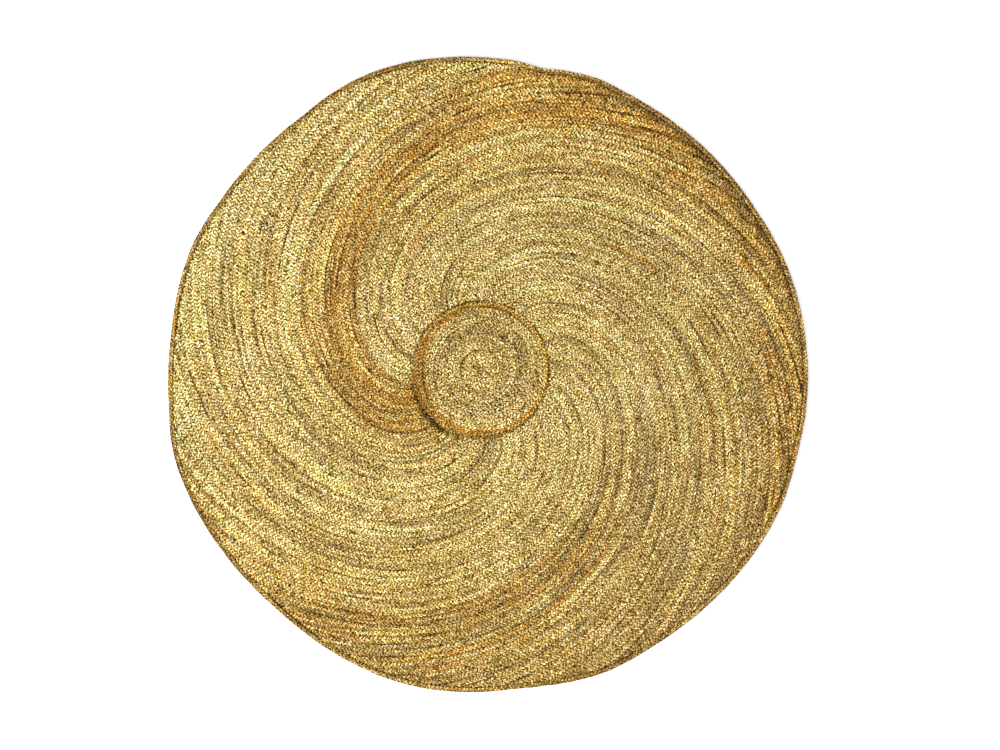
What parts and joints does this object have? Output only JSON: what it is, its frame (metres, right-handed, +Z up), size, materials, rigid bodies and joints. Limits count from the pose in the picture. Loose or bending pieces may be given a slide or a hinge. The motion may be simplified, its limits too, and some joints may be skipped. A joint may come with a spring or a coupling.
{
  "type": "round jute rug",
  "caption": "Round braided jute rug: a coiled centre disc, a swirl of plaits sewn side by side round it, and a plait sewn round the rim.",
  "frame": {"origin": "middle of the rug's outline box, on the surface that it lies on", "axes": "+Z up, out of the face of the rug; +Y towards the top of the rug as pictured from above and +X to its right; the centre disc is a little left of and above the middle"},
  "size_m": [1.205, 1.1966, 0.0075],
  "materials": {
    "disc_jute": "matt plaited jute, straw with an amber outer ring",
    "field_jute": "matt plaited jute, straw with amber, rust and dark streaks",
    "edge_jute": "matt plaited jute, straw to brown"
  },
  "bodies": {
    "root": {"center_disc": "disc_jute", "swirl_field": "field_jute", "edge_braid": "edge_jute"}
  },
  "joints": []
}
